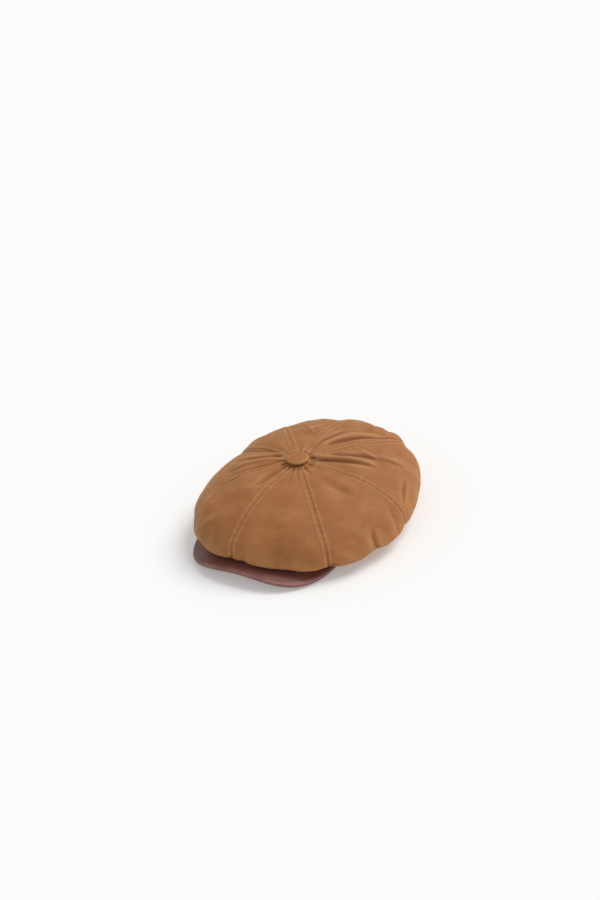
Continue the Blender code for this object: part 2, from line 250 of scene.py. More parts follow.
def through(values, angle):
    """A smooth closed curve through values spaced evenly round the cap: the sum of their Fourier waves."""
    waves = np.fft.rfft(values) / len(values)
    waves[1:(len(values) + 1) // 2] *= 2
    return np.sum([(wave * np.exp(1j * k * angle)).real for k, wave in enumerate(waves)], 0)


def crown_reach(angle):
    """Radius of the rim: half an oval in front and half behind, plus its drift."""
    half_length = np.where(np.cos(angle) > 0, CROWN_FRONT, CROWN_BACK)
    return oval(angle, CROWN_SIDE - PANEL_PUFF, half_length - PANEL_PUFF) + MM * through(RIM_DRIFT, angle)


def rim_height(angle):
    """Height of the rim: mean, pitch and saddle from its front, side and back, and a diagonal twist."""
    mean = (RIM_FRONT + RIM_BACK + 2 * RIM_SIDE) / 4
    pitch = (RIM_FRONT - RIM_BACK) / 2 + RIM_PITCH
    saddle = (RIM_FRONT + RIM_BACK - 2 * RIM_SIDE) / 4
    return mean + pitch * np.cos(angle) + saddle * np.cos(2 * angle) + RIM_TWIST * np.sin(2 * angle)


def hem_height(angle, radius):
    """Height of the crown's hem above the band's edge, with more room over the peak."""
    turned = np.abs(np.arctan2(np.sin(angle), np.cos(angle)))
    past_peak = smooth((turned - PEAK_HEM_ANGLE) / PEAK_HEM_EASE)
    return band_edge(angle, radius) + HEM_RISE + HEM_RISE_OVER_PEAK * (1 - past_peak)


def crown_surface(angle, step):
    """The smooth crown: a quarter oval from button to rim, then a quarter oval in to the headband."""
    reach = crown_reach(angle)
    rim = rim_height(angle)
    dome = pi / 2 * np.minimum(step, 1)
    under = pi / 2 * np.clip(step - 1, 0, 1)
    inner = band_radius(angle, HEM_CLEARANCE)
    hem = hem_height(angle, inner)
    radius = np.where(step <= 1, reach * np.sin(dome), inner + (reach - inner) * np.cos(under))
    height = np.where(step <= 1, rim + (CROWN_TOP - rim) * np.cos(dome), rim - (rim - hem) * np.sin(under))
    return around(angle, radius, height)


def seam_angle(place, step):
    """Angle of a place counted in panels: even spacing plus each seam's drift, eased between seams.
    The drift grows from the button, changes towards the rim and fades out at the hem."""
    index = np.floor(place).astype(int)
    share = smooth(place - index)

    def eased(drifts):
        drifts = np.radians(drifts)
        return drifts[index % PANELS] * (1 - share) + drifts[(index + 1) % PANELS] * share

    towards_rim = smooth((step - 0.35) / 0.5)
    drift = eased(SEAM_DRIFT) * (1 - towards_rim) + eased(SEAM_DRIFT_AT_RIM) * towards_rim
    return 2 * pi / PANELS * place + drift * smooth(step / 0.12) * (1 - smooth((step - 1.2) / 0.8))


def normals_of(points, wrap):
    """Unit normals of a grid of points: the cross product of its two directions."""
    if wrap:
        across = np.roll(points, -1, 0) - np.roll(points, 1, 0)
    else:
        across = np.gradient(points, axis=0)
    normal = np.cross(np.gradient(points, axis=1), across)
    return normal / np.maximum(np.linalg.norm(normal, axis=-1, keepdims=True), 1e-12)


def run_length(points):
    """Distance along each column of a grid, from its first row."""
    steps = np.linalg.norm(np.diff(points, axis=1), axis=-1)
    return np.concatenate([np.zeros((len(points), 1)), np.cumsum(steps, 1)], 1)


def run_across(points):
    """Distance along each row of a grid, from its first column."""
    return run_length(points.swapaxes(0, 1)).T


def sample(grid, column, row):
    """Values between the points of a grid that closes on itself, blended from the four round each place."""
    count = len(grid)
    c0, r0 = np.floor(column).astype(int), np.clip(np.floor(row).astype(int), 0, grid.shape[1] - 2)
    c_share, r_share = (column - c0)[..., None], (row - r0)[..., None]
    left, right = c0 % count, (c0 + 1) % count
    near = grid[left, r0] * (1 - c_share) + grid[right, r0] * c_share
    far = grid[left, r0 + 1] * (1 - c_share) + grid[right, r0 + 1] * c_share
    return near * (1 - r_share) + far * r_share


def blurred(field, passes):
    """A field on the crown's grid, averaged with its neighbours a number of times."""
    for _ in range(passes):
        field = (np.roll(field, 1, 0) + 2 * field + np.roll(field, -1, 0)) / 4
        padded = np.concatenate([field[:, :1], field, field[:, -1:]], 1)
        field = (padded[:, :-2] + 2 * padded[:, 1:-1] + padded[:, 2:]) / 4
    return field


def ripple(x, y, wavelength, seed):
    """Soft irregular waves: nine sines in seeded directions and phases, added up."""
    rng = np.random.default_rng(seed)
    direction, phase = rng.uniform(0, 2 * pi, (2, 9))
    pitch = 2 * pi / (wavelength * rng.uniform(0.7, 1.5, 9))
    turns = [np.sin(p * (x * cos(d) + y * sin(d)) + f) for p, d, f in zip(pitch, direction, phase)]
    return np.sum(turns, 0) / 3


# ---- meshes

def new_object(name, data):
    """An object in the scene, for a mesh, lamp or camera."""
    item = bpy.data.objects.new(name, data)
    bpy.context.scene.collection.objects.link(item)
    return item


def mesh_piece(name, points, faces, corners_uv, material, wear_and_shade=None):
    """An object at the origin from points and four-cornered faces, with its cloth UV map in metres."""
    mesh = bpy.data.meshes.new(name)
    mesh.from_pydata(points.reshape(-1, 3).tolist(), [], faces.tolist())
    layer = mesh.uv_layers.new(name="cloth")
    layer.data.foreach_set("uv", corners_uv.astype(np.float32).ravel())
    if wear_and_shade is not None:
        attribute = mesh.attributes.new("wear_and_shade", "FLOAT", "POINT")
        attribute.data.foreach_set("value", wear_and_shade.astype(np.float32).ravel())
    mesh.materials.append(material)
    mesh.shade_smooth()
    return new_object(name, mesh)


def grid_piece(name, points, uv, material, inside, wear_and_shade=None, wrap=(False, False)):
    """A grid of points as a surface that faces away from the point inside. A wrapped way closes on itself."""
    columns, rows = points.shape[:2]
    i, j = crossed(np.arange(columns - (not wrap[0])), np.arange(rows - (not wrap[1])))
    i, j = i.ravel(), j.ravel()
    corners = ((i, j), (i + 1, j), (i + 1, j + 1), (i, j + 1))
    faces = np.stack([(a % columns) * rows + b % rows for a, b in corners], 1)
    corners_uv = np.stack([uv[a, b] for a, b in corners], 1)
    places = points.reshape(-1, 3)[faces]
    normal = np.cross(places[:, 2] - places[:, 0], places[:, 3] - places[:, 1])
    if (normal * (places.mean(1) - np.array(inside))).sum() < 0:
        faces, corners_uv = faces[:, ::-1], corners_uv[:, ::-1]
    return mesh_piece(name, points, faces, corners_uv, material, wear_and_shade)


def add_wall(item, thickness):
    """Give an open sheet its thickness, inwards from the face that shows."""
    wall = item.modifiers.new("wall", "SOLIDIFY")
    wall.thickness = thickness
    wall.offset = -1
    wall.use_even_offset = False
    wall.use_rim = True


def stitch_row(name, points, normals, material):
    """Short arched stitches laid end to end along a line of points, each a closed six-sided bead:
    a ring's radius is that of the thread times sqrt(1 - t^4), its height an arch 1 - t^2, t from -1 to 1."""
    rings, sides = 7, 6
    along = np.concatenate([[0], np.cumsum(np.linalg.norm(np.diff(points, axis=0), axis=1))])
    starts = np.arange(0.5 * STITCH_PITCH, along[-1] - STITCH_LENGTH, STITCH_PITCH)
    t = np.linspace(-1, 1, rings)
    at = starts[:, None] + STITCH_LENGTH * (t[None] + 1) / 2
    centre = np.stack([np.interp(at, along, points[:, k]) for k in range(3)], -1)
    up = np.stack([np.interp(at, along, normals[:, k]) for k in range(3)], -1)
    up /= np.linalg.norm(up, axis=-1, keepdims=True)
    side = np.cross(np.gradient(centre, axis=1), up)
    side /= np.linalg.norm(side, axis=-1, keepdims=True)
    turn = 2 * pi * np.arange(sides) / sides
    size = THREAD_RADIUS * np.sqrt(np.maximum(1 - t ** 4, 0.02))
    lift = THREAD_RADIUS * (1.3 * (1 - t ** 2) - 0.55)
    outward = np.cos(turn)[:, None] * side[:, :, None] + np.sin(turn)[:, None] * up[:, :, None]
    ring = (centre + up * lift[None, :, None])[:, :, None] + size[None, :, None, None] * outward
    a, b = crossed(sides * np.arange(rings - 1), np.arange(sides))
    a, b = a.ravel(), b.ravel()
    after = (b + 1) % sides
    quads = np.stack([a + b, a + sides + b, a + sides + after, a + after], 1)
    last = (rings - 1) * sides
    caps = [(0, 1, 2, 3), (0, 3, 4, 5)]
    caps += [(last + 3, last + 2, last + 1, last), (last + 5, last + 4, last + 3, last)]
    one = np.concatenate([quads, caps])
    faces = (one[None] + (np.arange(len(starts)) * rings * sides)[:, None, None]).reshape(-1, 4)
    flat = ring.reshape(-1, 3)
    corner = flat[one]
    away = corner.mean(1) - flat[:rings * sides].mean(0)
    if (np.cross(corner[:, 2] - corner[:, 0], corner[:, 3] - corner[:, 1]) * away).sum() < 0:
        faces = faces[:, ::-1]
    uv = np.repeat(np.tile(t, len(starts))[:, None], sides, 1).ravel()
    corners_uv = np.stack([uv[faces] * STITCH_LENGTH, (faces % sides) * THREAD_RADIUS], -1)
    return mesh_piece(name, flat, faces, corners_uv, material)


# ---- finishes

def linear(red, green, blue):
    """A colour given as 0 to 255 on screen, as the light it stands for."""
    parts = (red, green, blue)
    return tuple(((c / 255 + 0.055) / 1.055) ** 2.4 if c > 10 else c / 255 / 12.92 for c in parts) + (1,)


class Finish:
    """A material being built from its Principled shader and the patterns that drive it."""

    def __init__(self, name, roughness, **sockets):
        self.material = bpy.data.materials.new(name)
        self.material.use_nodes = True
        self.tree = self.material.node_tree
        self.shader = self.tree.nodes["Principled BSDF"]
        self.shader.inputs["Roughness"].default_value = roughness
        for socket, value in sockets.items():
            self.shader.inputs[socket.replace("_", " ")].default_value = value
        self.place = self.node("TexCoord").outputs["Object"]
        uv = self.node("UVMap")
        uv.uv_map = "cloth"
        self.cloth = uv.outputs["UV"]

    def node(self, kind):
        """A new shader node of a kind."""
        return self.tree.nodes.new("ShaderNode" + kind)

    def put(self, socket, value):
        """Link a pattern to a socket, or set the socket's own value. Three numbers are a screen colour."""
        if isinstance(value, bpy.types.NodeSocket):
            self.tree.links.new(value, socket)
        elif isinstance(value, tuple):
            socket.default_value = linear(*value)
        else:
            socket.default_value = value

    def noise(self, where, scale, detail=3, roughness=0.55):
        """Cloudy noise from 0 to 1."""
        made = self.node("TexNoise")
        self.put(made.inputs["Vector"], where)
        for socket, value in (("Scale", scale), ("Detail", detail), ("Roughness", roughness)):
            made.inputs[socket].default_value = value
        return made.outputs["Fac"]

    def threads(self, direction, pitch):
        """Parallel threads along the cloth: a sine wave with a thread's pitch in metres."""
        made = self.node("TexWave")
        made.bands_direction = direction
        self.put(made.inputs["Vector"], self.cloth)
        made.inputs["Scale"].default_value = 0.31416 / pitch
        made.inputs["Distortion"].default_value = 0.6
        made.inputs["Detail"].default_value = 1
        return made.outputs["Fac"]

    def cells(self, where, scale):
        """Distance to the nearest of scattered points, as in the pebbles of a hide."""
        made = self.node("TexVoronoi")
        self.put(made.inputs["Vector"], where)
        made.inputs["Scale"].default_value = scale
        return made.outputs["Distance"]

    def spread(self, value, low, high, out_low=0.0, out_high=1.0):
        """Stretch a range of a pattern to another range, and hold it there."""
        made = self.node("MapRange")
        for socket, number in zip(made.inputs[:5], (value, low, high, out_low, out_high)):
            self.put(socket, number)
        return made.outputs["Result"]

    def math(self, operation, first, second):
        """One sum on two patterns."""
        made = self.node("Math")
        made.operation = operation
        self.put(made.inputs[0], first)
        self.put(made.inputs[1], second)
        return made.outputs[0]

    def mix(self, share, first, second):
        """Blend two colours by a pattern."""
        made = self.node("Mix")
        made.data_type = "RGBA"
        self.put(made.inputs["Factor"], share)
        self.put(made.inputs[6], first)
        self.put(made.inputs[7], second)
        return made.outputs[2]

    def attribute(self, name):
        """A number kept on the surface's points."""
        made = self.node("Attribute")
        made.attribute_name = name
        return made.outputs["Fac"]

    def worn_and_shaded(self, colour, pale_share, pale, dark_share, dark):
        """Pale the worn ridges and paint shade into the hollows of a colour, by the wear-and-shade value kept
        on the surface's points.
        """
        wear_and_shade = self.attribute("wear_and_shade")
        colour = self.mix(self.spread(wear_and_shade, 0.05, 1.0, 0.0, pale_share), colour, pale)
        return self.mix(self.spread(wear_and_shade, -0.05, -1.0, 0.0, dark_share), colour, dark)

    def rubbed(self, colour, pale):
        """Pale a colour by half where the wear is full."""
        return self.mix(self.spread(self.attribute("wear_and_shade"), 0.0, 1.0, 0.0, 0.5), colour, pale)

    def bump(self, height, distance, strength, after=None):
        """Relief from a height pattern, a distance deep."""
        made = self.node("Bump")
        made.inputs["Strength"].default_value = strength
        made.inputs["Distance"].default_value = distance
        self.put(made.inputs["Height"], height)
        if after is not None:
            self.put(made.inputs["Normal"], after)
        return made.outputs["Normal"]

    def hide_from_below(self):
        """Let the underside of a one-sided sheet be seen through."""
        side = self.node("NewGeometry").outputs["Backfacing"]
        clear = self.node("BsdfTransparent").outputs["BSDF"]
        choice = self.node("MixShader")
        for socket, link in zip(choice.inputs, (side, self.shader.outputs["BSDF"], clear)):
            self.tree.links.new(link, socket)
        self.tree.links.new(choice.outputs[0], self.tree.nodes["Material Output"].inputs["Surface"])

    def finish(self, colour, roughness=None, normal=None):
        """Link the patterns to the shader and hand the material over."""
        self.put(self.shader.inputs["Base Color"], colour)
        if roughness is not None:
            self.put(self.shader.inputs["Roughness"], roughness)
        if normal is not None:
            self.put(self.shader.inputs["Normal"], normal)
        return self.material


def waxed_canvas():
    """Tan cotton duck with a dry wax: plain weave, cloudy wax patches, pale worn ridges and painted shade in
    the creases.
    """
    f = Finish("waxed_canvas_tan", 0.72, Sheen_Weight=0.45, Sheen_Roughness=0.35, Specular_IOR_Level=0.35)
    f.shader.inputs["Sheen Tint"].default_value = linear(255, 214, 158)
    patches = f.spread(f.noise(f.place, 26, 4, 0.6), 0.34, 0.68)
    blotches = f.spread(f.noise(f.place, 110, 4, 0.65), 0.3, 0.72)
    fibres = f.noise(f.cloth, 1500, 2, 0.7)
    weave = f.math("MULTIPLY", f.threads("X", 0.62 * MM), f.threads("Y", 0.62 * MM))
    body = f.mix(patches, (172, 108, 58), (187, 123, 69))
    body = f.mix(f.math("MULTIPLY", blotches, 0.35), body, (164, 101, 54))
    body = f.mix(f.spread(weave, 0.0, 0.6, 0.16, 0.0), body, (120, 74, 40))
    body = f.mix(f.spread(fibres, 0.45, 0.75, 0.0, 0.14), body, (208, 160, 112))
    # Ridges are paled as wear; creases and hollows get painted shade.
    body = f.worn_and_shaded(body, 0.55, (206, 156, 108), 0.6, (122, 74, 38))
    roughness = f.spread(patches, 0.0, 1.0, 0.62, 0.80)
    normal = f.bump(f.noise(f.place, 240, 4, 0.6), 0.5 * MM, 0.55)
    normal = f.bump(f.math("ADD", weave, fibres), 0.12 * MM, 0.6, normal)
    return f.finish(body, roughness, normal)


def tan_thread():
    """Pale tan topstitching thread with a soft twist."""
    f = Finish("topstitch_thread_tan", 0.6, Sheen_Weight=0.2, Specular_IOR_Level=0.35)
    ply = f.threads("DIAGONAL", 0.45 * MM)
    colour = f.mix(f.noise(f.place, 60, 2), (222, 178, 128), (240, 204, 158))
    colour = f.mix(f.spread(ply, 0.0, 0.5, 0.35, 0.0), colour, (150, 100, 58))
    return f.finish(colour, None, f.bump(ply, 0.08 * MM, 0.8))


def peak_hide():
    """Chestnut cowhide, lightly polished: pebbled grain, pull-up clouds, a paler edge (wear plus painted
    highlight) and painted shade under its roll.
    """
    f = Finish("peak_leather_chestnut", 0.42, Specular_IOR_Level=0.6, Coat_Weight=0.3, Coat_Roughness=0.32)
    clouds = f.spread(f.noise(f.place, 34, 4, 0.6), 0.32, 0.7)
    pebbles = f.cells(f.place, 1150)
    pores = f.noise(f.place, 2600, 2)
    colour = f.mix(clouds, (126, 75, 67), (148, 93, 84))
    colour = f.mix(f.spread(pebbles, 0.1, 0.7, 0.0, 0.3), colour, (104, 60, 55))
    # Pale: wear plus a painted highlight on the roll's top. Dark: painted shade under the roll.
    colour = f.worn_and_shaded(colour, 0.6, (190, 140, 127), 0.7, (48, 26, 24))
    roughness = f.spread(clouds, 0.0, 1.0, 0.32, 0.44)
    normal = f.bump(f.noise(f.place, 190, 3), 0.35 * MM, 0.5)
    normal = f.bump(f.math("ADD", pebbles, f.math("MULTIPLY", pores, 0.4)), 0.09 * MM, 0.55, normal)
    return f.finish(colour, roughness, normal)


def sweatband_hide():
    """Dark brown lambskin, fine-grained and matt, paler along its rubbed lower edge."""
    f = Finish("sweatband_lambskin", 0.55, Specular_IOR_Level=0.4)
    clouds = f.spread(f.noise(f.place, 40, 4), 0.3, 0.7)
    grain = f.cells(f.place, 1700)
    colour = f.mix(clouds, (88, 60, 42), (106, 74, 52))
    colour = f.rubbed(colour, (140, 104, 76))
    return f.finish(colour, f.spread(clouds, 0, 1, 0.48, 0.6), f.bump(grain, 0.07 * MM, 0.6))


def lining_satin():
    """Dark brown satin: fine floats along the cloth, soft lustre and slightly uneven dye."""
    f = Finish("lining_satin_brown", 0.34, Anisotropic=0.45, Sheen_Weight=0.15, Specular_IOR_Level=0.5)
    floats = f.threads("Y", 0.28 * MM)
    dye = f.noise(f.place, 45, 3)
    colour = f.mix(dye, (78, 56, 42), (96, 70, 52))
    colour = f.rubbed(colour, (132, 100, 76))
    normal = f.bump(floats, 0.04 * MM, 0.5, f.bump(f.noise(f.place, 130, 3), 0.4 * MM, 0.5))
    return f.finish(colour, f.spread(dye, 0.3, 0.7, 0.3, 0.42), normal)


def bonded_fibre():
    """Off-white bonded interlining: felted fibres pressed flat."""
    f = Finish("stiffener_bonded_fibre", 0.9)
    felt = f.noise(f.place, 900, 5, 0.7)
    colour = f.mix(f.spread(felt, 0.35, 0.65), (196, 188, 172), (226, 220, 206))
    return f.finish(colour, None, f.bump(felt, 0.15 * MM, 0.7))


def peak_board():
    """Black moulded board with a fine pressed grain."""
    f = Finish("peak_board_black", 0.55)
    grain = f.noise(f.place, 700, 4)
    colour = f.mix(grain, (22, 22, 23), (52, 51, 50))
    return f.finish(colour, f.spread(grain, 0.3, 0.7, 0.45, 0.65), f.bump(grain, 0.1 * MM, 0.5))


def pressed_metal(name, dark, light):
    """Pressed sheet metal: fine drawing marks and faint stains."""
    f = Finish(name, 0.35, Metallic=1.0)
    marks = f.noise(f.place, 1400, 3)
    colour = f.mix(f.noise(f.place, 160, 3), dark, light)
    return f.finish(colour, f.spread(marks, 0.3, 0.7, 0.25, 0.45), f.bump(marks, 0.03 * MM, 0.6))


# ---- crown

def crown_grid(columns, dome_rows, under_rows, gathered):
    """Places on the crown: panel counts, steps and angles. Gathered columns crowd towards the seams:
    the share across a panel is 0.25 x + 0.75 sin(pi x / 2)."""
    even = np.linspace(-1, 1, columns + 1)[:-1]
    share = 0.25 * even + 0.75 * np.sin(pi / 2 * even) if gathered else even
    place = (np.arange(PANELS)[:, None] + (share[None] + 1) / 2).ravel()
    first = BUTTON_HOLE / CROWN_SIDE
    step = np.concatenate([np.linspace(first, 1, dome_rows + 1), 1 + np.linspace(0, 1, under_rows + 1)[1:]])
    place, step = crossed(place, step)
    return place, step, seam_angle(place, step)


def fold_heights(angle, distance):
    """Folds pressed in the cloth: each a curve on the flattened crown, with a bell-shaped section
    exp(-(d/w)^2) and a height that tapers to both ends."""
    x, y = distance * np.sin(angle), -distance * np.cos(angle)
    height = np.zeros_like(x)
    t = np.linspace(0, 1, 61)
    for places, rise, half_width in FOLDS:
        turn, out = np.radians([p[0] for p in places]), np.array([p[1] for p in places]) * MM
        points = np.stack([out * np.sin(turn), -out * np.cos(turn)], 1)
        middle = 2 * points[1] - (points[0] + points[2]) / 2
        curve = np.outer((1 - t) ** 2, points[0]) + np.outer(2 * t * (1 - t), middle)
        curve += np.outer(t ** 2, points[2])
        squared = (x[..., None] - curve[:, 0]) ** 2 + (y[..., None] - curve[:, 1]) ** 2
        nearest = squared.argmin(-1)
        taper = np.sin(pi * np.clip(t[nearest], 0.02, 0.98)) ** 0.7
        width = half_width * MM * (0.6 + 0.4 * taper)
        height += rise * MM * taper * np.exp(-squared.min(-1) / width ** 2)
    return height


def soft_crown(place, step, angle):
    """The crown without its seams: the smooth shape, puffed between seams as 1 - share^2,
    with its pressed folds and soft waves along its normals."""
    points = crown_surface(angle, step)
    distance = run_length(points)
    share = 2 * (place - np.floor(place)) - 1
    near_button = smooth((distance - 8 * MM) / (60 * MM))
    near_hem = 1 - smooth((step - 1.5) / 0.5)
    puff = PANEL_PUFF * (1 - share ** 2) * near_button * near_hem
    x, y = distance * np.sin(angle), -distance * np.cos(angle)
    waves = 0.55 * MM * ripple(x, y, 46 * MM, 3) + 0.08 * MM * ripple(x, y, 17 * MM, 5)
    waves = waves * near_button * near_hem
    height = puff + fold_heights(angle, distance) * near_hem + waves
    return points + normals_of(points, True) * height[..., None], height


def room_for_peak(points):
    """How far the crown's underside goes up, so that the peak can tilt to its upper limit under it: a soft
    maximum of the cloth's height and the height of the peak's upper face at that limit, over the middle
    of the peak and fading out towards its wings."""
    x, ahead = points[..., 0], AXIS_Y - points[..., 1]
    angle = np.arctan2(x, ahead)
    reach = np.hypot(x, ahead) - band_radius(angle, PEAK_SLACK)
    face = peak_surface(angle, np.clip(reach, 0, PEAK_DEPTH), 0)[..., 2]
    raised = face + np.maximum(PEAK_JOINT.y - points[..., 1], 0) * np.sin(PEAK_TILT_UP)
    short = raised + PEAK_TILT_ROOM - points[..., 2]
    lift = PEAK_TILT_SOFTNESS * np.logaddexp(0, short / PEAK_TILT_SOFTNESS)
    return lift * (1 - smooth((np.abs(angle) - radians(32)) / radians(24)))


def relaxed_by_cloth():
    """How far cloth cut four percent too large moves off the soft crown, by simulation: held at the
    button and the hem, lightly along the seams, and free to buckle between. Only the short buckles are
    kept, which is the movement less its own blur, and they are capped with a tanh."""
    place, step, angle = crown_grid(CLOTH_COLUMNS, CLOTH_DOME_ROWS, CLOTH_UNDER_ROWS, False)
    points, _ = soft_crown(place, step, angle)
    flat_uv = np.zeros((points.shape[0] + 1, points.shape[1], 2))
    blank = bpy.data.materials.new("blank")
    item = grid_piece("loose_crown", points, flat_uv, blank, (0, AXIS_Y, 30 * MM), wrap=(True, False))
    held = np.zeros(points.shape[:2])
    held[::CLOTH_COLUMNS] = SEAM_HOLD
    held[:, 1:3] = BUTTON_HOLD
    held[:, 0] = held[:, -1] = held[:, -2] = 1
    group = item.vertex_groups.new(name="held")
    for weight in (SEAM_HOLD, BUTTON_HOLD, 1.0):
        group.add(np.flatnonzero(held.ravel() == weight).tolist(), weight, "REPLACE")
    settings = item.modifiers.new("cloth", "CLOTH").settings
    for name, value in CLOTH_SETTINGS.items():
        setattr(settings, name, value)
    settings.vertex_group_mass = "held"
    settings.effector_weights.gravity = 0
    scene = bpy.context.scene
    for number in range(1, CLOTH_FRAMES + 1):
        scene.frame_set(number)
    shown = item.evaluated_get(bpy.context.evaluated_depsgraph_get())
    moved = np.zeros(points.size, np.float32)
    shown.data.vertices.foreach_get("co", moved)
    scene.frame_set(1)
    offset = moved.reshape(points.shape) - points
    offset -= np.stack([blurred(offset[..., k], CLOTH_BLUR) for k in range(3)], -1)
    bpy.data.objects.remove(item)
    bpy.data.materials.remove(blank)
    length = np.linalg.norm(offset, axis=-1, keepdims=True)
    return offset * CLOTH_CAP * np.tanh(length / CLOTH_CAP) / np.maximum(length, 1e-9)


def stitch_offset(radius):
    """How far a row of stitches lies from its seam: closer where the panels narrow to the button."""
    return np.minimum(SEAM_ROW_OFFSET, SEAM_ROW_SHARE * radius * pi / PANELS)


def seam_relief(place, step, angle, points):
    """Relief of the sewn seams: a padded strip over the turned-back allowances, a narrow groove where
    the panels meet, a dimple under each stitched row, and puckers drawn in by the thread."""
    distance = run_length(points)
    nearest = np.round(place)
    radius = np.hypot(points[..., 0], points[..., 1] - AXIS_Y)
    away = np.abs(angle - seam_angle(nearest, step)) * radius
    pad = SEAM_PAD * (1 - smooth((away - SEAM_ALLOWANCE * 0.8) / (2 * MM)))
    groove = -SEAM_GROOVE * bell(away, 0, 0.75 * MM)
    dimple = -0.3 * MM * bell(away, stitch_offset(radius), 0.8 * MM)
    beat = np.sin(2 * pi * distance / (8.5 * MM) + 1.7 * np.sin(distance / (21 * MM) + 2.1 * nearest))
    pucker = 0.09 * MM * beat * bell(away, 0, 7 * MM)
    fade = smooth((distance - 6 * MM) / (10 * MM))
    return (pad + groove + dimple + pucker) * fade


def button_gathers(angle, points):
    """Small pleats that run out from under the button: sines round the axis, fading with distance."""
    distance = run_length(points)
    fade = smooth((distance - 6 * MM) / (8 * MM)) * np.exp(-np.maximum(distance - 14 * MM, 0) / (17 * MM))
    pleats = np.sin(17 * angle + 1.3 * np.sin(3 * angle))
    pleats += 0.6 * np.sin(29 * angle + 2.0 * np.sin(2 * angle + 1))
    moat = -0.7 * MM * bell(distance, 13.5 * MM, 3.5 * MM)
    return 0.6 * MM * pleats * fade + moat


def make_crown(canvas, thread):
    """Eight canvas gores and their twin rows of topstitching."""
    place, step, angle = crown_grid(PANEL_COLUMNS, DOME_ROWS, UNDER_ROWS, True)
    points, height = soft_crown(place, step, angle)
    dome = (step - step[0, 0]) / (1 - step[0, 0]) * CLOTH_DOME_ROWS
    row = np.where(step <= 1, dome, CLOTH_DOME_ROWS + (step - 1) * CLOTH_UNDER_ROWS)
    points = points + blurred(sample(relaxed_by_cloth(), place * CLOTH_COLUMNS, row), 5)
    relief = seam_relief(place, step, angle, points) + button_gathers(angle, points)
    base = points
    points = points + normals_of(points, True) * relief[..., None]
    lift = room_for_peak(points)
    points[..., 2] += lift
    base = base + lift[..., None] * np.array([0, 0, 1])
    total = height + relief
    # Relief above its blur marks ridges, paled as wear; relief below it marks creases, which get painted
    # shade.
    sharp = (total - blurred(total, 14)) / (0.5 * MM)
    rim = 0.25 * bell(step, 1, 0.16)
    wear_and_shade = np.clip(sharp + rim, -1, 1)
    facing = normals_of(points, True)
    distance = run_length(points)
    for index, name in enumerate(PANEL_NAMES):
        span = np.arange(index * PANEL_COLUMNS, (index + 1) * PANEL_COLUMNS + 1) % len(points)
        part = points[span]
        across = run_across(part)
        across = across - across[PANEL_COLUMNS // 2]
        uv = np.stack([across, distance[span]], -1)
        panel = grid_piece("canvas_panel_" + name, part, uv, canvas, (0, AXIS_Y, 30 * MM), wear_and_shade[span])
        add_wall(panel, CANVAS_THICKNESS)
        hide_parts("crown_panel_" + name)
        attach(panel, "crown")
    for index, name in enumerate(SEAM_NAMES):
        sew_seam(index, name, points, facing, base, thread)


def sew_seam(index, name, points, facing, base, thread):
    """Twin rows of stitches beside one seam, laid on the finished cloth from the button to the hem."""
    seam = index * PANEL_COLUMNS
    radius = np.hypot(base[seam, :, 0], base[seam, :, 1] - AXIS_Y)
    offset = stitch_offset(radius)
    rows = np.arange(np.searchsorted(radius[:DOME_ROWS], FIRST_STITCH), points.shape[1] - 2)
    beside = np.arange(-PANEL_COLUMNS // 2, PANEL_COLUMNS // 2 + 1)
    away = run_across(points[(seam + beside) % len(points)])
    away = away - away[PANEL_COLUMNS // 2]
    for side, hand in ((-1, "right"), (1, "left")):
        column = seam + np.array([np.interp(side * offset[r], away[:, r], beside) for r in rows])
        line = sample(points, column, rows.astype(float))
        up = sample(facing, column, rows.astype(float))
        item = stitch_row(f"topstitch_{name}_{hand}", line, up, thread)
        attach(item, "crown")


# ---- button

